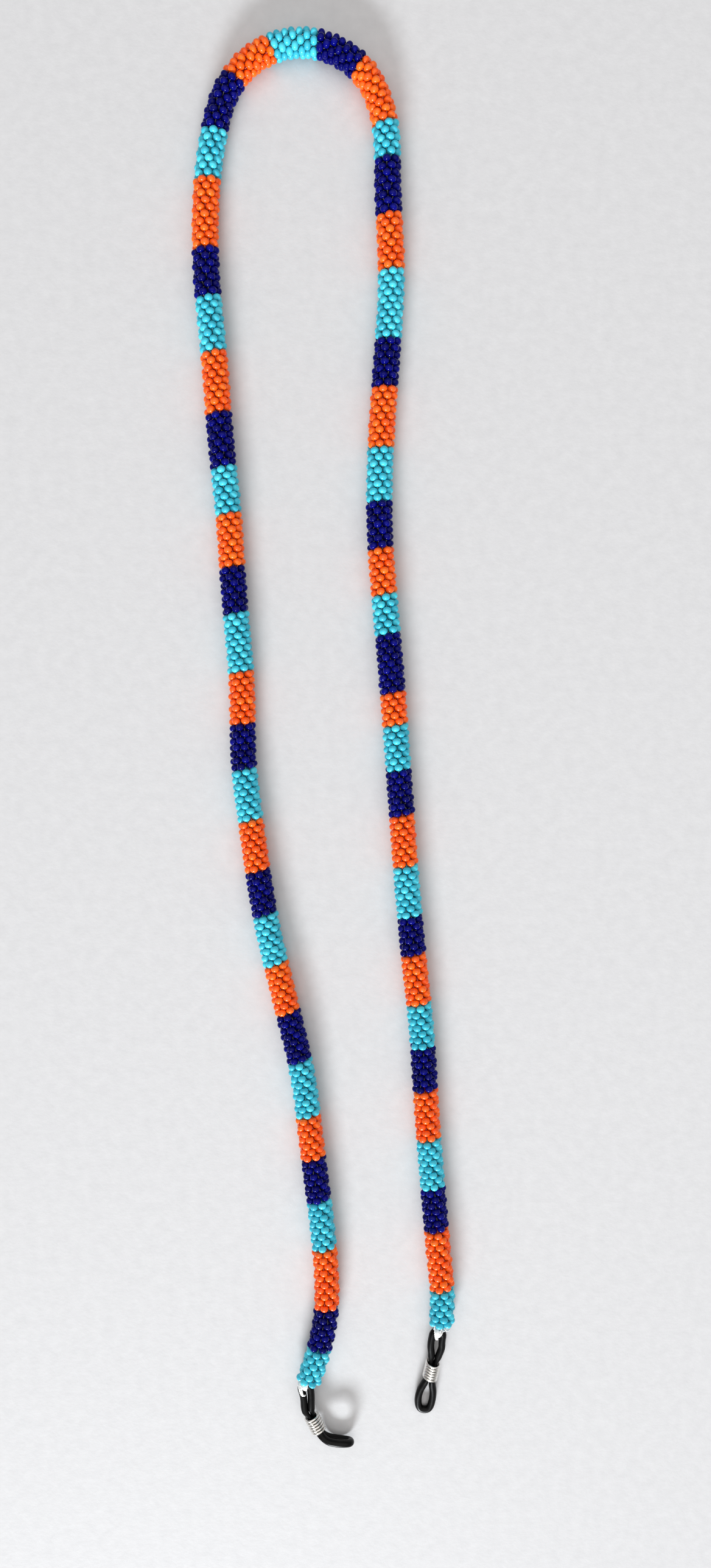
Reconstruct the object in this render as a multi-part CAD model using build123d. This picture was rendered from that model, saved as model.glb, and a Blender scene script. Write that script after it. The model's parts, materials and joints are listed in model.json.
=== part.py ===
from build123d import *
import math
import os

# Eyeglass retainer strap: a bead-crochet rope with a rubber temple loop at each end.
# Millimetres. The strap lies flat on Z = 0. +Y runs from the two ends towards the bend
# that goes behind the neck, +X is to the right, and the origin is on the table, midway
# between the outermost points of the two end fittings.

# ---- rope ----
rope_diameter = 6.8          # over the beads
core_diameter = 2.6          # crochet thread core that the beads sit round
bead_bore_diameter = 2.8     # inside of a bead sleeve, clear of the core
arc_share = 0.45             # share of the shorter run that an arc takes up

# Points of the rope's route, from the left end round the bend to the right end.
rope_route = [
    (-16.8, 0.9), (-13.0, 11.5), (-11.4, 25.0), (-12.7, 43.0), (-15.5, 64.0),
    (-17.5, 84.0), (-23.1, 107.0), (-27.7, 127.0), (-30.5, 148.0), (-32.8, 166.0),
    (-32.5, 184.0), (-34.5, 206.0), (-35.6, 227.0), (-37.7, 246.0), (-38.8, 265.0),
    (-40.9, 285.0), (-40.7, 302.0), (-38.9, 316.0), (-35.3, 328.8), (-25.6, 337.3),
    (-12.7, 338.5), (-1.6, 332.0), (3.5, 320.0), (3.5, 302.5), (4.8, 284.0),
    (3.4, 264.0), (1.9, 244.0), (1.5, 223.0), (3.4, 202.0), (5.2, 182.0),
    (6.8, 161.0), (8.4, 139.0), (10.3, 118.0), (12.9, 96.0), (14.1, 75.0),
    (16.0, 53.0), (17.5, 36.0), (18.9, 24.5), (18.3, 15.6),
]

# Rounds of beads in each colour band, from the left end to the right end.
# The colours repeat turquoise, navy, orange, and both ends are turquoise.
band_rounds = [
    6, 7, 10, 8, 7, 7, 9, 8, 8,
    8, 7, 8, 8, 7, 8, 9, 7, 8,
    7, 8, 9, 8, 7, 10, 7, 8, 7,
    7, 7, 9, 5, 8, 8, 10, 7, 9, 8,
    7, 7, 6, 9, 5, 7, 7, 8, 8,
    6, 8, 7, 7, 8, 8, 7, 10, 7,
]
band_colours = ["turquoise", "navy", "orange"]
# Name of each stretch of the rope and how many bands it holds.
stretches = [
    ("left_lower", 9), ("left_middle", 9), ("left_upper", 9),
    ("right_upper", 10), ("right_middle", 9), ("right_lower", 9),
]

# ---- rope ends ----
mouth_diameter = 6.0         # hollow at each rope end, round the thread tie
mouth_depth = 2.8
knot_diameter = 4.6          # finishing knot that closes the core
knot_start = 0.75            # distance of the knot inside the mouth
knot_end = 2.6

# ---- rubber temple loops, wire coils and thread ties ----
rubber_diameter = 1.84
neck_diameter = 1.2          # rubber strand where the coil pinches it
neck_half_gap = 0.66         # strand centre to coil axis inside the coil
tie_thread_diameter = 0.6
tie_clearance = 0.12         # between the tie's thread and the rubber
wire_diameter = 0.64
coil_inner_diameter = 2.84
coil_pitch = 0.70
coil_turns = 6.5

# The loop's top and the thread tie go through each other, so both bend at this radius.
hoop_radius = rubber_diameter / 2 + tie_clearance + tie_thread_diameter / 2
coil_radius = (coil_inner_diameter + wire_diameter) / 2

# Each end fitting has a frame at its coil's middle: Y along the coil towards the rope, X
# across, Z out of the loop's plane. Lean turns the frame about the world's Z and slope
# lifts its Y, in degrees. The swing centre is where the loop hangs in its thread tie. The
# loop is given by stations in that frame: x, y, z, half the gap between the two strands'
# centres, and how far the pair of strands is twisted about Y, in degrees.
left_end = {
    "coil_centre": (-15.0, -10.55, 3.1),
    "lean": 27,
    "slope": 2,
    "swing_centre": (2.26, 9.63, 0),
    "upper": [
        (2.60, 10.93, 0, hoop_radius, 0),
        (1.84, 8.05, 0, 1.38, 0),
        (1.05, 6.30, 0, 1.20, 0),
        (0.35, 5.00, 0, 0.98, 0),
    ],
    "neck": [
        (0, 4.20, 0, neck_half_gap, 0),
        (0, 1.57, 0, neck_half_gap, 32),
        (0, -1.07, 0, neck_half_gap, 64),
        (0, -3.70, 0, neck_half_gap, 96),
    ],
    "lower": [
        (0.25, -4.60, 0.02, 1.10, 99),
        (1.25, -5.85, 0.11, 1.85, 103),
        (3.20, -7.10, 0.17, 2.10, 105),
        (5.40, -7.95, 0.12, 1.75, 105),
        (6.40, -8.25, 0.08, 0.85, 105),
    ],
}
right_end = {
    "coil_centre": (15.9, 3.8, 2.41),
    "lean": -11,
    "slope": 6.9,
    "swing_centre": (-0.50, 10.30, 0),
    "upper": [
        (-0.50, 11.64, 0, hoop_radius, 0),
        (-0.47, 8.80, 0, 1.40, 0),
        (-0.15, 6.90, 0, 1.50, 0),
        (0.00, 5.00, 0, 1.00, 0),
    ],
    "neck": [
        (0, 4.20, 0, neck_half_gap, 0),
        (0, -3.70, 0, neck_half_gap, 0),
    ],
    "lower": [
        (0.00, -4.50, 0, 1.10, 0),
        (0.02, -6.30, 0, 1.90, 0),
        (0.10, -8.80, 0, 2.15, 0),
        (0.35, -11.20, 0, 1.75, 0),
        (0.55, -12.20, 0, 0.85, 0),
    ],
}


def arc_radii(points, share):
    """One fillet radius for each corner, as large as the shorter run beside it allows."""
    radii = []
    for before, corner, after in zip(points, points[1:], points[2:]):
        arriving = corner - before
        leaving = after - corner
        half_turn = math.radians(arriving.get_angle(leaving)) / 2
        radii.append(share * min(arriving.length, leaving.length) / math.tan(half_turn))
    return radii


def rounded_path(points, share):
    """Straight runs through the points, joined by tangent arcs."""
    if len(points) == 2:
        return Wire([Edge.make_line(points[0], points[1])])
    return FilletPolyline(*points, radius=arc_radii(points, share)).wire()


def disc(centre, direction, diameter):
    return Plane(origin=centre, z_dir=direction) * Circle(diameter / 2)


def tube(path, diameter):
    return sweep(disc(path @ 0, path % 0, diameter), path=path)


def rod(start, direction, diameter, length):
    """A cylinder from start along direction."""
    return extrude(disc(start, direction, diameter), amount=length, dir=direction)


# ---- the rope ----

def rope_path():
    points = [Vector(x, y, rope_diameter / 2) for x, y in rope_route]
    radii = arc_radii(points, arc_share)
    print("rope arc radii:", ", ".join(f"{radius:.0f}" for radius in radii))
    return rounded_path(points, arc_share)


def thread_core(path):
    """The crocheted thread core, with a finishing knot inside each mouth."""
    start_share = knot_end / path.length
    inner = path.trim(start_share, 1 - start_share)
    core = tube(inner, core_diameter)
    for end in (0, 1):
        inward = (path % end) * (1 - 2 * end)
        knot = rod(path @ end + inward * knot_start, inward, knot_diameter, knot_end - knot_start)
        core += knot
    return core


def band_sleeve(path, start, end):
    """One colour band: a closed sleeve over the rounds of beads, open along its middle."""
    piece = path.trim(start / path.length, end / path.length)
    return tube(piece, rope_diameter) - tube(piece, bead_bore_diameter)


def rope_mouth(path, end):
    inward = (path % end) * (1 - 2 * end)
    return rod(path @ end - inward * 0.1, inward, mouth_diameter, mouth_depth + 0.1)


def bead_nodes(path):
    """Bead sleeves grouped by colour and stretch, as {node name: [sleeves]}."""
    pitch = path.length / sum(band_rounds)
    nodes = {}
    start = 0
    band = 0
    for stretch, count in stretches:
        for _ in range(count):
            end = start + band_rounds[band] * pitch
            sleeve = band_sleeve(path, start, min(end, path.length))
            if band == 0:
                sleeve -= rope_mouth(path, 0)
            if band == len(band_rounds) - 1:
                sleeve -= rope_mouth(path, 1)
            colour = band_colours[band % len(band_colours)]
            nodes.setdefault(f"{colour}_beads_{stretch}", []).append(sleeve)
            start = end
            band += 1
    return nodes


# ---- the end fittings ----

def fitting_frame(end):
    """The frame at an end's coil, from its lean and slope."""
    along = Vector(0, 1, 0).rotate(Axis.X, end["slope"]).rotate(Axis.Z, end["lean"])
    across = Vector(1, 0, 0).rotate(Axis.Z, end["lean"])
    return Plane(origin=end["coil_centre"], x_dir=across, z_dir=across.cross(along))


def strand_points(stations, frame):
    """The two strands' centre points at each station, as two lists."""
    centres = [Vector(*station[:3]) for station in stations]
    last = len(centres) - 1
    sides = ([], [])
    for i, (_, _, _, half_gap, twist) in enumerate(stations):
        along = centres[min(i + 1, last)] - centres[max(i - 1, 0)]
        across = along.cross(Vector(0, 0, 1)).normalized()
        spread = across.rotate(Axis((0, 0, 0), along), -twist) * half_gap
        sides[0].append(frame.from_local_coords(centres[i] + spread))
        sides[1].append(frame.from_local_coords(centres[i] - spread))
    return sides


def taper(neck_path, neck_end, loop_path, loop_end):
    """The rubber's change of thickness between a pinched neck and a loop."""
    narrow = disc(neck_path @ neck_end, neck_path % neck_end, neck_diameter)
    wide = disc(loop_path @ loop_end, loop_path % loop_end, rubber_diameter)
    return loft([narrow.face(), wide.face()])


def temple_loop(end):
    """One closed loop of rubber cord, pinched at its middle into a figure of eight."""
    sides = strand_points(end["upper"] + end["neck"] + end["lower"], fitting_frame(end))
    first_neck = len(end["upper"])
    first_lower = first_neck + len(end["neck"])
    upper_path = rounded_path(sides[0][first_neck - 1::-1] + sides[1][:first_neck], 0.49)
    lower_path = rounded_path(sides[0][first_lower:] + sides[1][:first_lower - 1:-1], 0.49)
    loop = tube(upper_path, rubber_diameter) + tube(lower_path, rubber_diameter)
    for side in (0, 1):
        neck_path = rounded_path(sides[side][first_neck:first_lower], 0.45)
        loop += tube(neck_path, neck_diameter)
        loop += taper(neck_path, 0, upper_path, side)
        loop += taper(neck_path, 1, lower_path, side)
    return loop


def wire_coil(end):
    """The close-wound wire coil that slides on the two strands."""
    height = coil_pitch * coil_turns
    helix = Helix(pitch=coil_pitch, height=height, radius=coil_radius)
    wire = sweep(disc(helix @ 0, helix % 0, wire_diameter), path=helix, is_frenet=True)
    along_y = Plane(origin=(0, -height / 2, 0), x_dir=(1, 0, 0), z_dir=(0, 1, 0))
    return fitting_frame(end) * (along_y * wire)


def tie_ring(end, thickness):
    """The way of the thread that holds the loop's top in the rope's mouth."""
    frame = fitting_frame(end)
    swing_centre = frame.from_local_coords(Vector(*end["swing_centre"]))
    loop_top = frame.from_local_coords(Vector(*end["upper"][0][:3]))
    inward = (loop_top - swing_centre).normalized()
    ring_plane = Plane(origin=swing_centre + inward * hoop_radius, z_dir=inward.cross(frame.z_dir))
    return ring_plane * Torus(hoop_radius, thickness / 2)


def save(name, shape):
    shape.label = name
    export_step(shape, f"parts/{name}.step")


def main():
    os.makedirs("parts", exist_ok=True)
    path = rope_path()
    print(f"rope length {path.length:.1f}, round pitch {path.length / sum(band_rounds):.3f}")

    core = thread_core(path)
    for side, end in (("left", left_end), ("right", right_end)):
        core -= tie_ring(end, tie_thread_diameter + 2 * tie_clearance)
        save(f"{side}_rubber_temple_loop", temple_loop(end))
        save(f"{side}_wire_coil", wire_coil(end))
        save(f"{side}_thread_tie", tie_ring(end, tie_thread_diameter))
    save("crochet_thread_core", core)
    for name, sleeves in bead_nodes(path).items():
        save(name, Compound(children=sleeves))


main()
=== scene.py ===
import json
import math

import bpy
import numpy as np
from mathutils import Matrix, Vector


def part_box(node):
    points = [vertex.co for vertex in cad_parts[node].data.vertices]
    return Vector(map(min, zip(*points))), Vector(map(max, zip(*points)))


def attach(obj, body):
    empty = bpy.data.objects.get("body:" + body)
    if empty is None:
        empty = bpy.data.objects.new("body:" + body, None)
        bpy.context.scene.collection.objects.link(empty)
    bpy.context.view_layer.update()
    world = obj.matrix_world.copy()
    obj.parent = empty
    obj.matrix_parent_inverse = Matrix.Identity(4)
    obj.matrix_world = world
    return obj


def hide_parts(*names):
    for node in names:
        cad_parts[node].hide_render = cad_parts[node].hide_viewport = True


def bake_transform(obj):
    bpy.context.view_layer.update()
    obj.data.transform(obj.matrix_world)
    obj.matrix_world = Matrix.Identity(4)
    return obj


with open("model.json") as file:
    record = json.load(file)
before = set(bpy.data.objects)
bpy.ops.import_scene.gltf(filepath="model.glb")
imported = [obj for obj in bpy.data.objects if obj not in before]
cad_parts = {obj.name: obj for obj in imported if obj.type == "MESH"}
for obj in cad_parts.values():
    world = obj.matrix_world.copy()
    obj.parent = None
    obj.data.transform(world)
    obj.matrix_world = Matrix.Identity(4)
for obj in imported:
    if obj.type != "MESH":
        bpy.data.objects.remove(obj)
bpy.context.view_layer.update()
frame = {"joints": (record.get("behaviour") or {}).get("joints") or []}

# Eyeglass retainer strap: a bead-crochet rope with a rubber temple loop at each end.
# Everything is in metres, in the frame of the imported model: the strap lies on Z = 0, and
# +Y runs from its two ends towards the bend.

MM = 0.001
UP = np.array((0.0, 0.0, 1.0))
odd_direction = (0.31, 0.17, 0.93)    # no line here starts along it

# ---- camera ----
camera_place = (-0.00425, 0.18390, 0.29238)
camera_tilt = math.radians(-4.8)
camera_lens = 26.34          # in millimetres, as the sensor
camera_sensor = 36           # along the picture's long side

# ---- rope ----
rope_diameter = 6.8 * MM
beads_per_round = 6.5
# Control points of the rope's middle line, seen from above, left end first.
rope_route = [
    (-0.0168, 0.0009), (-0.0130, 0.0115), (-0.0114, 0.0250), (-0.0127, 0.0430), (-0.0155, 0.0640),
    (-0.0175, 0.0840), (-0.0231, 0.1070), (-0.0277, 0.1270), (-0.0305, 0.1480), (-0.0328, 0.1660),
    (-0.0325, 0.1840), (-0.0345, 0.2060), (-0.0356, 0.2270), (-0.0377, 0.2460), (-0.0388, 0.2650),
    (-0.0409, 0.2850), (-0.0407, 0.3020), (-0.0389, 0.3160), (-0.0353, 0.3288), (-0.0256, 0.3373),
    (-0.0127, 0.3385), (-0.0016, 0.3320), (0.0035, 0.3200), (0.0035, 0.3025), (0.0048, 0.2840),
    (0.0034, 0.2640), (0.0019, 0.2440), (0.0015, 0.2230), (0.0034, 0.2020), (0.0052, 0.1820),
    (0.0068, 0.1610), (0.0084, 0.1390), (0.0103, 0.1180), (0.0129, 0.0960), (0.0141, 0.0750),
    (0.0160, 0.0530), (0.0175, 0.0360), (0.0189, 0.0245), (0.0183, 0.0156),
]
# Rounds of beads in each colour band, from the left end, by stretch of the rope.
band_rounds = {
    "left_lower": [6, 7, 10, 8, 7, 7, 9, 8, 8],
    "left_middle": [8, 7, 8, 8, 7, 8, 9, 7, 8],
    "left_upper": [7, 8, 9, 8, 7, 10, 7, 8, 7],
    "right_upper": [7, 7, 9, 5, 8, 8, 10, 7, 9, 8],
    "right_middle": [7, 7, 6, 9, 5, 7, 7, 8, 8],
    "right_lower": [6, 8, 7, 7, 8, 8, 7, 10, 7],
}
band_colours = ["turquoise", "navy", "orange"]
band_list = [(stretch, rounds) for stretch, bands in band_rounds.items() for rounds in bands]
rope_rounds = sum(rounds for _, rounds in band_list)

# ---- one glass bead, with its hole along the rope ----
bead_radius = 1.05 * MM
bead_half_length = 0.90 * MM
bead_hole_radius = 0.40 * MM
bead_roundness = 2.1         # exponent of its outline; 2 is an ellipse
bead_sunk_share = 0.97       # of its radius, so that beads stand a little proud
bead_ring_radius = rope_diameter / 2 - bead_radius * bead_sunk_share
bead_segments = 22
bead_outline_points = 11
bead_lip = (0.80, 0.86)      # inner edge of the hole: shares of its place and of its radius
last_bead_margin = 0.95 * MM    # from the last bead's middle to the rope's right end
# The spiral starts at this angle and drifts in two slow waves: size, length in metres, phase.
bead_start_angle = -1.35
bead_drift = ((0.22, 0.061, 0.0), (0.16, 0.023, 1.0))
# How unevenly the beads sit, as standard deviations, and how unequal they are.
angle_spread = 0.025
distance_spread = 0.035 * MM
height_spread = 0.03 * MM
lean_spread = 0.06
size_spreads = (0.035, 0.022, 0.022)
size_limits = (0.92, 1.05)

# ---- thread ----
core_radius = 1.45 * MM
core_sides = 16
core_step = 0.8 * MM         # between the rings of points along the core
core_end_gap = 0.9 * MM      # from the core's end to the rope's end
core_ridges = 4
core_ridge_depth = 0.07      # share of the core's radius
core_ridge_pitch = 9 * MM    # length of one turn of the ridges
# Painted shade and painted coloured bead reflection on the thread between the beads of each band.
painted_gap_light = np.array([(0.02, 0.34, 0.42), (0.003, 0.003, 0.045), (0.66, 0.045, 0.003)])
# The stitches take this share of the painted gap light, with a pale lift; the mouth keeps the
# thread's own pale colour.
stitch_share_of_gap_light = 0.8      # of the gap's tint, in the stitches
stitch_pale_lift = 0.11
mouth_tint = 0.72
stitch_radius = 0.12 * MM
stitch_sides = 5
# One stitch: its points' distances from the bead's middle along the rope, and their heights
# above the rope's middle line.
stitch_reach = np.array([-1.42, -1.30, -1.08, -0.78, 0.78, 1.08, 1.30, 1.42]) * MM
stitch_height = np.array([1.36, 1.75, 2.16, 2.38, 2.38, 2.16, 1.75, 1.36]) * MM
stitch_end_gap = 0.3 * MM
# One arc of thread at the rope's mouth: distances from the mouth, heights, turns in radians.
mouth_arcs = 9
mouth_reach = np.array([2.4, 1.3, 0.55, 0.45, 1.0, 1.9]) * MM
mouth_height = np.array([0.9, 1.35, 1.75, 2.25, 2.45, 2.35]) * MM
mouth_turn = np.array([0, 0.05, 0.2, 0.45, 0.6, 0.65])
mouth_angle_spread = 0.12
mouth_reach_spread = 0.12 * MM
tie_thread_radius = 0.21 * MM
mouth_thread_radius = tie_thread_radius * 0.9
# How the plies of a spun thread lie, in shares of its radius.
ply_count = 3
ply_offset = 0.50
ply_radius = 0.52
ply_turn = 9                 # length of one turn of the plies
ply_sides = 7
tie_fan = (-0.42, -0.2, 0.02, 0.24, 0.44)    # turns of the tie's rings, in radians
tie_fan_spread = 0.03
tie_ring_points = 48
# A thread bundle is narrower at its outer end. The stretch over which it narrows is measured inward
# from the loop's swing centre.
wrap_narrow_share = 0.25
wrap_width_ends = (-1.0 * MM, 2.0 * MM)

# ---- end fittings, in each coil's own frame, in millimetres ----
# Stations of the rubber loop: x, y, z, half the gap between the strands, twist in degrees.
fittings = {
    "left": {
        "upper": [(2.60, 10.93, 0, 1.34, 0), (1.84, 8.05, 0, 1.05, 0), (1.05, 6.30, 0, 0.96, 0),
                  (0.35, 4.90, 0, 0.93, 0), (0, 3.70, 0, 0.84, 6)],
        "neck": [(0, 2.75, 0, 0.66, 20), (0, 1.00, 0, 0.66, 39), (0, -1.00, 0, 0.66, 63),
                 (0, -2.75, 0, 0.66, 85)],
        "lower": [(0.02, -3.60, 0, 0.86, 96), (0.36, -4.80, 0.02, 1.25, 102),
                  (1.25, -6.05, 0.11, 1.80, 107), (3.05, -7.40, 0.17, 2.05, 110),
                  (5.05, -8.65, 0.12, 1.70, 110), (5.95, -9.15, 0.08, 0.82, 110)],
    },
    "right": {
        "upper": [(-0.50, 11.64, 0, 1.34, 0), (-0.47, 8.80, 0, 1.40, 0), (-0.15, 6.90, 0, 1.50, 0),
                  (0, 5.00, 0, 1.05, 0), (0, 3.70, 0, 0.86, 0)],
        "neck": [(0, 2.75, 0, 0.66, 0), (0, 0, 0, 0.66, 0), (0, -2.75, 0, 0.66, 0)],
        "lower": [(0, -3.60, 0, 0.86, 0), (0, -4.80, 0, 1.20, 0), (0.02, -6.30, 0, 1.72, 0),
                  (0.10, -8.80, 0, 1.96, 0), (0.35, -11.20, 0, 1.62, 0),
                  (0.55, -12.20, 0, 0.80, 0)],
    },
}
rubber_radius = 0.95 * MM
squeezed_across = 0.70       # share of the round strand's width that is left inside the coil
squeezed_along = 1.06        # the same along its other width
squeeze_start = 2.9 * MM     # distance from the coil's middle
squeeze_end = 4.3 * MM
rubber_sides = 20
almost_nothing = (1e-9, 0, 0)    # keeps a direction defined on the coil's axis
wire_radius = 0.32 * MM
wire_sides = 14
wire_end_share = 0.82        # of the wire's radius, at its cut ends
coil_radius = 1.74 * MM      # to the middle of the wire
coil_pitch = 0.80 * MM
coil_turns = 5.6
coil_steps_per_turn = 30
hoop_radius = 1.34 * MM      # of the tie's rings, and of the rubber's bend through them

# Thread bundles between the rope and each loop, in millimetres: the corners of one thread
# (sideways, inward and up from the loop's swing centre), and how far each thread is shifted.
wraps = {
    "left": {
        "corners": [(-1.20, 2.2, 0.60), (-1.30, 0.6, 1.30), (-1.15, -0.9, 1.28),
                    (-0.40, -1.40, 0.50), (-1.00, -0.9, -1.20), (-1.25, 0.6, -1.25),
                    (-1.10, 2.2, -0.50)],
        "shifts": [-0.34, -0.12, 0.10, 0.32, 0.54],
    },
    "right": {
        "corners": [(-0.75, 2.3, 0.80), (-0.62, 1.3, 1.40), (-0.35, -0.1, 1.10),
                    (0.0, -0.95, 0.35), (0.0, -0.85, -0.50), (-0.25, 0.3, -1.25),
                    (-0.55, 2.1, -0.90)],
        "shifts": [-0.50, -0.28, -0.06, 0.16, 0.38],
    },
}

# ---- floor and light ----
floor_half = 4.0
floor_steps = 8
floor_middle_y = 0.15
light_target = (0, 0.16, 0)
room_colour = (1.0, 0.97, 0.95, 1)
room_strength = 0.41

random = np.random.default_rng(11)


# ---- camera, line of the rope ----

def make_camera():
    """The camera above the strap, tilted a little towards its ends."""
    data = bpy.data.cameras.new("camera")
    data.lens = camera_lens
    data.sensor_width = camera_sensor
    camera = bpy.data.objects.new("camera", data)
    camera.location = camera_place
    camera.rotation_euler = (camera_tilt, 0, 0)
    bpy.context.collection.objects.link(camera)
    bpy.context.scene.camera = camera


def spline_points(name, points, closed=False, resolution=24):
    """Points along the smooth NURBS line that has the given control points."""
    curve = bpy.data.curves.new(name, "CURVE")
    curve.dimensions = "3D"
    curve.resolution_u = resolution
    spline = curve.splines.new("NURBS")
    spline.points.add(len(points) - 1)
    for spline_point, place in zip(spline.points, points):
        spline_point.co = (*place, 1)
    spline.order_u = 3
    spline.use_endpoint_u = not closed
    spline.use_cyclic_u = closed
    line = bpy.data.objects.new(name, curve)
    bpy.context.collection.objects.link(line)
    bpy.context.view_layer.update()
    evaluated = line.evaluated_get(bpy.context.evaluated_depsgraph_get())
    mesh = bpy.data.meshes.new_from_object(evaluated)
    found = np.array([tuple(vertex.co) for vertex in mesh.vertices])
    bpy.data.meshes.remove(mesh)
    bpy.data.objects.remove(line)
    return found


def unit(vectors):
    return vectors / np.linalg.norm(vectors, axis=-1, keepdims=True)


class RopeLine:
    """The middle line of the rope, with its directions at any distance from the left end."""

    def __init__(self, points):
        self.points = points
        steps = np.linalg.norm(np.diff(points, axis=0), axis=1)
        self.distances = np.concatenate([[0], np.cumsum(steps)])
        self.length = self.distances[-1]
        self.directions = unit(np.gradient(points, self.distances, axis=0))

    def at(self, distance):
        """Middle, direction along, level direction to the right, at each distance."""
        distance = np.asarray(distance, dtype=float)
        inside = np.clip(distance, 0, self.length)
        along = unit(self.blend(self.directions, inside))
        middle = self.blend(self.points, inside) + along * (distance - inside)[..., None]
        return middle, along, np.cross(along, UP)

    def blend(self, values, distance):
        """The values given at the line's points, for any distance along it."""
        columns = [np.interp(distance, self.distances, column) for column in values.T]
        return np.stack(columns, axis=-1)


# ---- meshes ----

def add_piece(name, points, faces, material, tone=None):
    """A smooth-shaded mesh object; tone is one number per point that its material reads."""
    mesh = bpy.data.meshes.new(name)
    mesh.from_pydata([tuple(p) for p in points], [], [tuple(f) for f in faces])
    mesh.polygons.foreach_set("use_smooth", [True] * len(mesh.polygons))
    if tone is not None:
        mesh.attributes.new("tone", "FLOAT", "POINT").data.foreach_set("value", tone)
    mesh.materials.append(material)
    mesh.update()
    piece = bpy.data.objects.new(name, mesh)
    bpy.context.collection.objects.link(piece)
    return piece


def ring_faces(rings, sides, closed=False):
    """Four-sided faces between rings of points that follow each other."""
    faces = []
    for ring in range(rings if closed else rings - 1):
        here, there = ring * sides, (ring + 1) % rings * sides
        for side in range(sides):
            after = (side + 1) % sides
            faces.append((here + side, here + after, there + after, there + side))
    return faces


def line_frames(points, closed=False):
    """Two directions across a line at each of its points, with as little turning as can be."""
    following = np.roll(points, -1, axis=0)
    before = np.roll(points, 1, axis=0)
    along = following - before
    if not closed:
        along[0] = points[1] - points[0]
        along[-1] = points[-1] - points[-2]
    along = unit(along)
    across = [unit(np.cross(along[0], odd_direction))]
    for direction in along[1:]:
        carried = across[-1] - direction * np.dot(across[-1], direction)
        across.append(unit(carried))
    across = np.array(across)
    if closed:
        turned = across[-1] - along[0] * np.dot(across[-1], along[0])
        turned = unit(turned)
        slip = math.atan2(np.dot(np.cross(turned, across[0]), along[0]), np.dot(turned, across[0]))
        angles = slip * np.arange(len(points)) / len(points)
        other = np.cross(along, across)
        across = across * np.cos(angles)[:, None] + other * np.sin(angles)[:, None]
    return across, np.cross(along, across)


def tube(points, radius, sides, closed=False):
    """Points and faces of a round tube along a line; radius is one number or one per point."""
    points = np.asarray(points)
    across, other = line_frames(points, closed)
    angles = (np.arange(sides) * math.tau / sides)[None, :, None]
    offsets = across[:, None] * np.cos(angles) + other[:, None] * np.sin(angles)
    radii = np.broadcast_to(radius, len(points))[:, None, None]
    surface = (points[:, None] + offsets * radii).reshape(-1, 3)
    faces = ring_faces(len(points), sides, closed)
    if not closed:
        last = (len(points) - 1) * sides
        faces.append(tuple(range(sides))[::-1])
        faces.append(tuple(range(last, last + sides)))
    return surface, faces


def join(parts):
    """One set of points and faces from several."""
    points, faces, start = [], [], 0
    for part_points, part_faces in parts:
        points.append(part_points)
        faces += [tuple(corner + start for corner in face) for face in part_faces]
        start += len(part_points)
    return np.concatenate(points), faces


# ---- beads ----

def bead_shape():
    """One bead round the X axis: an oval outline turned about its hole."""
    hole_angle = math.acos((bead_hole_radius / bead_radius) ** (bead_roundness / 2))
    outline = []
    for turn in np.linspace(-hole_angle, hole_angle, bead_outline_points):
        out = bead_radius * math.cos(turn) ** (2 / bead_roundness)
        along = bead_half_length * math.copysign(abs(math.sin(turn)) ** (2 / bead_roundness), turn)
        outline.append((along, out))
    hole_end = outline[-1][0]
    lip_end, lip_radius = hole_end * bead_lip[0], bead_hole_radius * bead_lip[1]
    outline += [(lip_end, lip_radius), (-lip_end, lip_radius)]
    angles = np.arange(bead_segments) * math.tau / bead_segments
    points = [(along, out * math.cos(angle), out * math.sin(angle))
              for angle in angles for along, out in outline]
    return np.array(points), ring_faces(bead_segments, len(outline), closed=True)


def bands_at(rounds):
    """Number of the colour band, from the left end, at each count of rounds."""
    ends = np.cumsum([rounds for _, rounds in band_list])
    return np.clip(np.searchsorted(ends, rounds, side="right"), 0, len(band_list) - 1)


def lay_beads(line):
    """Place, directions and size of every bead on the spiral, as arrays."""
    count = int(rope_rounds * beads_per_round)
    number = np.arange(count)
    distance = (number + 0.5) / count * line.length
    drift = sum(size * np.sin(distance / length + phase) for size, length, phase in bead_drift)
    angle = bead_start_angle - number * math.tau / beads_per_round + drift
    angle += random.normal(0, angle_spread, count)
    distance = distance + random.normal(0, distance_spread, count)
    middle, along, right = line.at(distance)
    radial = right * np.cos(angle)[:, None] + UP * np.sin(angle)[:, None]
    out = bead_ring_radius + random.normal(0, height_spread, count)
    lean = random.normal(0, lean_spread, (count, 2))
    axis = unit(along + radial * lean[:, :1] + np.cross(radial, along) * lean[:, 1:])
    side = unit(np.cross(radial, axis))
    size = np.stack([random.normal(1.0, spread, count) for spread in size_spreads], axis=-1)
    beads = {
        "place": middle + radial * out[:, None],
        "axes": np.stack([axis, side, np.cross(axis, side)], axis=1),
        "size": np.clip(size, *size_limits),
        "band": bands_at(distance / line.length * rope_rounds),
        "angle": angle,
        "distance": distance,
        "tone": random.random(count),
    }
    kept = distance < line.length - last_bead_margin
    return {key: values[kept] for key, values in beads.items()}


def bead_piece(name, beads, chosen, material):
    """One piece with the chosen beads, each a copy of the bead shape."""
    shape, shape_faces = bead_shape()
    shape_faces = np.array(shape_faces)
    points = np.einsum("bk,vk,bkx->bvx", beads["size"][chosen], shape, beads["axes"][chosen])
    points += beads["place"][chosen][:, None]
    faces = shape_faces[None] + (np.arange(len(chosen)) * len(shape))[:, None, None]
    tone = np.repeat(beads["tone"][chosen], len(shape))
    return add_piece(name, points.reshape(-1, 3), faces.reshape(-1, 4), material, tone)


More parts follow.
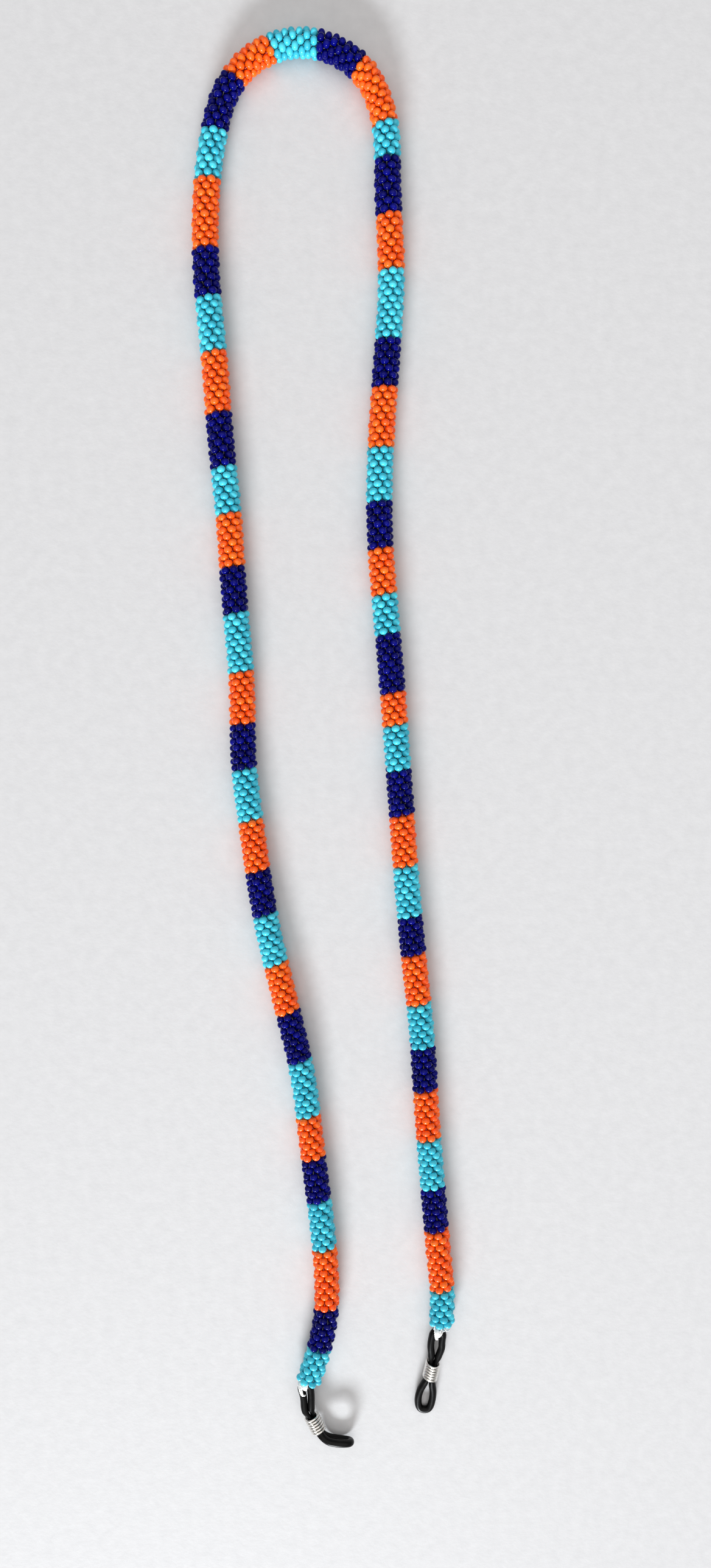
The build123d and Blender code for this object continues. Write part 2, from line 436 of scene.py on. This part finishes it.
def make_beads(beads, materials):
    """The bead pieces by colour and stretch, each in place of its packed sleeves."""
    pieces = []
    stretches = np.array([stretch for stretch, _ in band_list])[beads["band"]]
    numbers = beads["band"] % len(band_colours)
    for stretch in band_rounds:
        for number, colour in enumerate(band_colours):
            node = f"{colour}_beads_{stretch}"
            chosen = np.flatnonzero((stretches == stretch) & (numbers == number))
            piece = bead_piece(f"glass_{node}", beads, chosen, materials[colour])
            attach(piece, "rope")
            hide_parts(node)
            pieces.append(piece)
    return pieces


# ---- thread ----

def stitch_lines(line, beads):
    """The thread that goes through each bead's hole and back into the core."""
    distance = beads["distance"][:, None] + stitch_reach[None]
    distance = np.clip(distance, stitch_end_gap, line.length - stitch_end_gap)
    middle, _, right = line.at(distance)
    angle = beads["angle"][:, None]
    radial = right * np.cos(angle)[..., None] + UP * np.sin(angle)[..., None]
    return middle + radial * stitch_height[None, :, None]


def core_tube(line):
    """The crocheted core: a tube with soft ridges that wind round it."""
    rings = int(line.length / core_step)
    distance = np.linspace(core_end_gap, line.length - core_end_gap, rings)
    middle, _, right = line.at(distance)
    angle = np.arange(core_sides) * math.tau / core_sides
    turn = distance[:, None] / core_ridge_pitch * math.tau
    radius = core_radius * (1 + core_ridge_depth * np.cos(core_ridges * angle[None] - turn))
    radial = right[:, None] * np.cos(angle)[None, :, None] + UP * np.sin(angle)[None, :, None]
    points = (middle[:, None] + radial * radius[..., None]).reshape(-1, 3)
    faces = ring_faces(rings, core_sides)
    last = (rings - 1) * core_sides
    return points, faces + [tuple(range(core_sides))[::-1], tuple(range(last, last + core_sides))]


def mouth_stitches(line, end):
    """The last stitches at one end: white arcs from the core to the beads at the mouth."""
    inward = 1 if end == 0 else -1
    mouth = 0 if end == 0 else line.length
    parts = []
    for number in range(mouth_arcs):
        angle = number * math.tau / mouth_arcs + random.normal(0, mouth_angle_spread)
        reach = mouth_reach + random.normal(0, mouth_reach_spread)
        turned = angle + mouth_turn
        middle, _, right = line.at(mouth + inward * reach)
        radial = right * np.cos(turned)[:, None] + UP * np.sin(turned)[:, None]
        arc = spline_points("mouth_stitch", middle + radial * mouth_height[:, None], resolution=6)
        parts += twisted_thread(arc, mouth_thread_radius)
    return parts


def make_crochet_cord(line, beads, material):
    """The rope's thread as one piece: the core, a stitch through each bead, and the mouths."""
    core = core_tube(line)
    # The core and the stitches carry their band's painted shade and painted coloured bead
    # reflection; the mouth stitches keep the thread's own pale colour.
    core_rounds = np.linspace(0, rope_rounds, len(core[0]) // core_sides)
    core_painted_light = painted_gap_light[bands_at(core_rounds) % len(band_colours)]
    thread_colour_and_painted_light = [np.repeat(core_painted_light, core_sides, axis=0)]
    stitches = [tube(stitch, stitch_radius, stitch_sides) for stitch in stitch_lines(line, beads)]
    stitch_painted_light = painted_gap_light[beads["band"] % len(band_colours)]
    stitch_painted_light = stitch_painted_light * stitch_share_of_gap_light + stitch_pale_lift
    thread_colour_and_painted_light.append(np.repeat(stitch_painted_light, len(stitches[0][0]), axis=0))
    mouths = [part for end in (0, 1) for part in mouth_stitches(line, end)]
    thread_colour_and_painted_light.append(np.full((sum(len(points) for points, _ in mouths), 3), mouth_tint))
    piece = add_piece("crochet_cord", *join([core] + stitches + mouths), material)
    thread_colour_and_painted_light = np.concatenate(thread_colour_and_painted_light)
    colours = piece.data.attributes.new("thread_colour_and_painted_light", "FLOAT_COLOR", "POINT")
    colours.data.foreach_set("color", np.column_stack([thread_colour_and_painted_light, np.ones(len(thread_colour_and_painted_light))]).ravel())
    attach(piece, "rope")
    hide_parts("crochet_thread_core")
    return piece


# ---- end fittings ----

class EndFrame:
    """Directions and places at one end fitting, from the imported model's joints and boxes."""

    def __init__(self, side):
        joints = {joint["name"]: joint for joint in frame["joints"]}
        swing = joints[f"{side}_loop_swing"]
        low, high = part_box(f"{side}_wire_coil")
        self.middle = (np.array(low) + np.array(high)) / 2
        self.along = unit(np.array(joints[f"{side}_coil_slide"]["axis"], dtype=float))
        self.normal = unit(np.array(swing["axis"], dtype=float))
        self.across = np.cross(self.along, self.normal)
        self.swing_centre = np.array(swing["pos_m"], dtype=float)
        self.tilt_centre = np.array(joints[f"{side}_loop_tilt"]["pos_m"], dtype=float)
        self.inward = unit(self.tilt_centre - self.swing_centre)
        self.sideways = np.cross(self.inward, self.normal)

    def world(self, local):
        """Points of the row frame from points of the coil's frame, both in metres."""
        local = np.asarray(local)
        return self.middle + local @ np.stack([self.across, self.along, self.normal])


def turn_about(vector, axis, angle):
    """The vector turned about the axis, by an angle in radians."""
    return (vector * math.cos(angle) + np.cross(axis, vector) * math.sin(angle)
            + axis * np.dot(axis, vector) * (1 - math.cos(angle)))


def strand_controls(stations):
    """Control points of the two strands of a rubber loop, in the coil's frame."""
    centres = np.array([station[:3] for station in stations]) * MM
    sides = ([], [])
    for i, (_, _, _, half_gap, twist) in enumerate(stations):
        along = unit(centres[min(i + 1, len(centres) - 1)] - centres[max(i - 1, 0)])
        spread = turn_about(unit(np.cross(along, UP)), along, -math.radians(twist)) * half_gap * MM
        sides[0].append(centres[i] + spread)
        sides[1].append(centres[i] - spread)
    return sides


def smooth_step(values, low, high):
    """0 below low, 1 above high, and a smooth change between them."""
    share = np.clip((values - low) / (high - low), 0, 1)
    return share * share * (3 - 2 * share)


def make_rubber_loop(side, end, material):
    """The closed rubber cord, squeezed to two ovals where the coil holds it."""
    shape = fittings[side]
    sides = strand_controls(shape["upper"] + shape["neck"] + shape["lower"])
    points = spline_points("rubber_line", sides[0] + sides[1][::-1], closed=True, resolution=14)
    surface, faces = tube(points, rubber_radius, rubber_sides, closed=True)
    offsets = surface.reshape(-1, rubber_sides, 3) - points[:, None]
    squeeze = 1 - smooth_step(np.abs(points[:, 1]), squeeze_start, squeeze_end)
    outward = unit(points * (1, 0, 1) + almost_nothing)
    beside = np.cross(outward, (0, 1, 0))
    across = np.einsum("pcx,px->pc", offsets, outward)[..., None] * outward[:, None]
    along = np.einsum("pcx,px->pc", offsets, beside)[..., None] * beside[:, None]
    share = squeeze[:, None, None]
    offsets = offsets + share * ((squeezed_across - 1) * across + (squeezed_along - 1) * along)
    surface = end.world((points[:, None] + offsets).reshape(-1, 3))
    piece = add_piece(f"{side}_rubber_loop", surface, faces, material)
    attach(piece, f"{side}_loop")
    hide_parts(f"{side}_rubber_temple_loop")


def make_coil(side, end, material):
    """The wire coil: a helix of round wire with rounded cut ends."""
    steps = int(coil_turns * coil_steps_per_turn)
    share = np.linspace(0, 1, steps + 1)
    angle = share * coil_turns * math.tau
    height = (share - 0.5) * coil_turns * coil_pitch
    line = np.stack([coil_radius * np.cos(angle), height, coil_radius * np.sin(angle)], axis=-1)
    near_end = np.minimum(np.arange(steps + 1), np.arange(steps + 1)[::-1])
    radius = wire_radius * np.where(near_end == 0, wire_end_share, 1.0)
    surface, faces = tube(line, radius, wire_sides)
    piece = add_piece(f"{side}_spring_coil", end.world(surface), faces, material)
    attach(piece, f"{side}_coil")
    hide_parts(f"{side}_wire_coil")


def twisted_thread(line, radius, closed=False):
    """A thread of plies that wind round each other along a line."""
    across, other = line_frames(line, closed)
    steps = np.linalg.norm(np.diff(line, axis=0), axis=1)
    length = steps.sum() + (np.linalg.norm(line[0] - line[-1]) if closed else 0)
    distance = np.concatenate([[0], np.cumsum(steps)])
    turns = max(1, round(length / (radius * ply_turn)))
    parts = []
    for ply in range(ply_count):
        angle = distance / length * turns * math.tau + ply * math.tau / ply_count
        outward = across * np.cos(angle)[:, None] + other * np.sin(angle)[:, None]
        middle = line + outward * radius * ply_offset
        parts.append(tube(middle, radius * ply_radius, ply_sides, closed))
    return parts


def make_tie(side, end, material):
    """Turns of thread that hold the top of the rubber loop to the rope's finishing knot."""
    parts = []
    start = end.swing_centre
    angle = np.arange(tie_ring_points) / tie_ring_points * math.tau
    lift = end.normal * hoop_radius
    for fan in tie_fan:
        inward = turn_about(end.inward, end.normal, fan + random.normal(0, tie_fan_spread))
        ring = (start + inward * hoop_radius
                - np.cos(angle)[:, None] * inward * hoop_radius + np.sin(angle)[:, None] * lift)
        parts += twisted_thread(ring, tie_thread_radius, closed=True)
    piece = add_piece(f"{side}_tie_stitches", *join(parts), material)
    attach(piece, f"{side}_tie")
    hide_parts(f"{side}_thread_tie")


def make_wrap(side, end, material):
    """A bundle of threads from the rope's mouth through the rubber loop and back."""
    corners = np.array(wraps[side]["corners"]) * MM
    width = np.interp(corners[:, 1], wrap_width_ends, (wrap_narrow_share, 1.0))
    places = end.swing_centre + corners @ np.stack([end.sideways, end.inward, end.normal])
    parts = []
    for shift in wraps[side]["shifts"]:
        line = places + end.sideways * (shift * width * MM)[:, None]
        parts += twisted_thread(spline_points("wrap_line", line, closed=True, resolution=10),
                                tie_thread_radius, closed=True)
    piece = add_piece(f"{side}_tie_wrap", *join(parts), material)
    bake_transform(piece)


# ---- materials ----

class Nodes:
    """A short way to make and link a material's nodes."""

    def __init__(self, name):
        self.material = bpy.data.materials.new(name)
        self.material.use_nodes = True
        self.tree = self.material.node_tree
        self.shader = self.tree.nodes["Principled BSDF"]

    def add(self, kind, **values):
        """A new node, with its properties or inputs set by name."""
        node = self.tree.nodes.new(kind)
        for key, value in values.items():
            if hasattr(node, key):
                setattr(node, key, value)
            else:
                node.inputs[key.replace("_", " ")].default_value = value
        return node

    def link(self, output, socket):
        self.tree.links.new(output, socket)

    def noise(self, scale, detail=3.0, roughness=0.55):
        """Noise from 0 to 1 over the piece, with scale in waves to the metre."""
        place = self.add("ShaderNodeTexCoord")
        noise = self.add("ShaderNodeTexNoise", Scale=scale, Detail=detail, Roughness=roughness)
        self.link(place.outputs["Object"], noise.inputs["Vector"])
        return noise.outputs["Fac"]

    def spread(self, value, low, high):
        """The value, which runs from 0 to 1, changed to run from low to high."""
        change = self.add("ShaderNodeMapRange")
        change.inputs["To Min"].default_value = low
        change.inputs["To Max"].default_value = high
        self.link(value, change.inputs["Value"])
        return change.outputs["Result"]

    def ramp(self, value, *stops):
        """A colour for each value, from stops of a place and a colour."""
        ramp = self.add("ShaderNodeValToRGB")
        elements = ramp.color_ramp.elements
        while len(elements) < len(stops):
            elements.new(0.5)
        for element, (place, colour) in zip(elements, stops):
            element.position = place
            element.color = (*colour, 1)
        self.link(value, ramp.inputs["Fac"])
        return ramp.outputs["Color"]

    def bump(self, height, strength, distance):
        """Fine relief on the piece's surface."""
        bump = self.add("ShaderNodeBump", Strength=strength, Distance=distance)
        self.link(height, bump.inputs["Height"])
        self.link(bump.outputs["Normal"], self.shader.inputs["Normal"])


def glass_material(name, deep, middle, light, roughness, shine):
    """Opaque glass: each bead has its own tone, with faint streaks and a fine uneven skin."""
    nodes = Nodes(name)
    tone = nodes.add("ShaderNodeAttribute", attribute_name="tone").outputs["Fac"]
    streaks = nodes.noise(900, 2.0)
    mixed = nodes.add("ShaderNodeMath", operation="MULTIPLY_ADD")
    nodes.link(streaks, mixed.inputs[0])
    mixed.inputs[1].default_value = 0.5
    nodes.link(nodes.spread(tone, -0.10, 0.60), mixed.inputs[2])
    nodes.link(nodes.ramp(mixed.outputs[0], (0.1, deep), (0.5, middle), (0.9, light)),
               nodes.shader.inputs["Base Color"])
    nodes.link(nodes.spread(nodes.noise(700), roughness * 0.7, roughness * 1.3),
               nodes.shader.inputs["Roughness"])
    nodes.shader.inputs["Specular IOR Level"].default_value = shine
    nodes.shader.inputs["IOR"].default_value = 1.52
    nodes.bump(nodes.noise(1300, 2.0), 0.12, 0.05 * MM)
    return nodes.material


def rubber_material():
    """Black rubber with a fine grain and uneven gloss."""
    nodes = Nodes("black_rubber_skin")
    black = nodes.ramp(nodes.noise(420, 5.0), (0.3, (0.0010, 0.0010, 0.0012)),
                       (0.75, (0.003, 0.003, 0.0034)))
    nodes.link(black, nodes.shader.inputs["Base Color"])
    nodes.link(nodes.spread(nodes.noise(800, 4.0), 0.24, 0.42), nodes.shader.inputs["Roughness"])
    nodes.shader.inputs["Specular IOR Level"].default_value = 0.16
    nodes.bump(nodes.noise(2600, 4.0), 0.18, 0.03 * MM)
    return nodes.material


def wire_material():
    """Bright plated wire, a little clouded in places."""
    nodes = Nodes("bright_plated_wire")
    silver = nodes.ramp(nodes.noise(900, 3.0), (0.3, (0.72, 0.70, 0.66)), (0.7, (0.90, 0.89, 0.87)))
    nodes.link(silver, nodes.shader.inputs["Base Color"])
    nodes.shader.inputs["Metallic"].default_value = 1.0
    nodes.link(nodes.spread(nodes.noise(1500, 4.0), 0.08, 0.24), nodes.shader.inputs["Roughness"])
    nodes.bump(nodes.noise(2200, 3.0), 0.10, 0.02 * MM)
    return nodes.material


def thread_material(name, shade, light):
    """Spun thread: pale fibres with fine bumps and a soft sheen."""
    nodes = Nodes(name)
    nodes.link(nodes.ramp(nodes.noise(2400, 5.0), (0.25, shade), (0.7, light)),
               nodes.shader.inputs["Base Color"])
    nodes.link(nodes.spread(nodes.noise(1500, 3.0), 0.5, 0.8), nodes.shader.inputs["Roughness"])
    nodes.shader.inputs["Sheen Weight"].default_value = 0.3
    nodes.bump(nodes.noise(5200, 4.0), 0.5, 0.06 * MM)
    return nodes.material


def painted_light_thread_material(name):
    """Spun thread coloured from the mesh's per-point colour, which holds painted gap shade and
    painted bead reflection, with a little unevenness.
    """
    nodes = Nodes(name)
    change = nodes.add("ShaderNodeHueSaturation")
    thread_colour_and_painted_light = nodes.add("ShaderNodeAttribute", attribute_name="thread_colour_and_painted_light")
    nodes.link(thread_colour_and_painted_light.outputs["Color"], change.inputs["Color"])
    nodes.link(nodes.spread(nodes.noise(2000, 4.0), 0.75, 1.25), change.inputs["Value"])
    nodes.link(change.outputs["Color"], nodes.shader.inputs["Base Color"])
    nodes.link(nodes.spread(nodes.noise(1500, 3.0), 0.55, 0.85), nodes.shader.inputs["Roughness"])
    nodes.shader.inputs["Specular IOR Level"].default_value = 0.2
    nodes.bump(nodes.noise(5200, 4.0), 0.5, 0.06 * MM)
    return nodes.material


def floor_material():
    """Pale matt paper with a faint grain."""
    nodes = Nodes("pale_floor")
    grey = nodes.ramp(nodes.noise(350, 6.0), (0.3, (0.58, 0.58, 0.59)), (0.7, (0.62, 0.62, 0.63)))
    nodes.link(grey, nodes.shader.inputs["Base Color"])
    nodes.shader.inputs["Roughness"].default_value = 0.6
    nodes.bump(nodes.noise(900, 5.0), 0.30, 0.12 * MM)
    return nodes.material


# ---- floor and light ----

def make_floor():
    """A flat square of floor under the strap, as a grid."""
    side = np.linspace(-floor_half, floor_half, floor_steps + 1)
    points = [(x, y + floor_middle_y, 0) for y in side for x in side]
    row = floor_steps + 1
    faces = [(r * row + c, r * row + c + 1, (r + 1) * row + c + 1, (r + 1) * row + c)
             for r in range(floor_steps) for c in range(floor_steps)]
    add_piece("floor", points, faces, floor_material())


def area_light(name, place, size, power, colour):
    """An oval area light that faces the strap; place and size in metres, power in watts."""
    data = bpy.data.lights.new(name, "AREA")
    data.shape = "ELLIPSE"
    data.size, data.size_y = size
    data.energy = power
    data.color = colour
    light = bpy.data.objects.new(name, data)
    light.location = place
    facing = Vector(light_target) - Vector(place)
    light.rotation_euler = facing.to_track_quat("-Z", "Y").to_euler()
    bpy.context.collection.objects.link(light)


def make_light():
    """A low window beyond the strap's ends, a large soft lamp above, and a pale room."""
    area_light("window", (-0.50, -2.60, 1.10), (1.15, 0.42), power=122, colour=(0.93, 0.97, 1.0))
    area_light("ceiling", (0.1, 0.35, 1.9), (3.6, 3.6), power=27.5, colour=(1.0, 0.98, 0.965))
    world = bpy.data.worlds.new("room")
    world.use_nodes = True
    background = world.node_tree.nodes["Background"]
    background.inputs["Color"].default_value = room_colour
    background.inputs["Strength"].default_value = room_strength
    bpy.context.scene.world = world
    bpy.context.scene.view_settings.view_transform = "Standard"


# ---- the strap ----

make_camera()
rope_line = RopeLine(spline_points("rope_line", [(x, y, rope_diameter / 2) for x, y in rope_route]))
all_beads = lay_beads(rope_line)

glass = {
    "turquoise": glass_material("turquoise_glass_skin", (0.030, 0.45, 0.60), (0.045, 0.54, 0.70),
                                (0.070, 0.64, 0.78), 0.30, 0.42),
    "navy": glass_material("navy_glass_skin", (0.0006, 0.0010, 0.090), (0.0010, 0.0016, 0.140),
                           (0.0016, 0.003, 0.19), 0.13, 0.12),
    "orange": glass_material("orange_glass_skin", (0.96, 0.090, 0.001), (1.0, 0.12, 0.002),
                             (1.0, 0.16, 0.004), 0.30, 0.42),
}
crochet_material = painted_light_thread_material("crochet_thread_fibres")
tie_material = thread_material("tie_thread_fibres", (0.78, 0.78, 0.78), (0.94, 0.94, 0.93))
rubber = rubber_material()
wire = wire_material()

cord = make_crochet_cord(rope_line, all_beads, crochet_material)
bead_pieces = make_beads(all_beads, glass)

for side in ("left", "right"):
    end = EndFrame(side)
    make_rubber_loop(side, end, rubber)
    make_coil(side, end, wire)
    make_tie(side, end, tie_material)
    make_wrap(side, end, tie_material)

make_floor()
make_light()
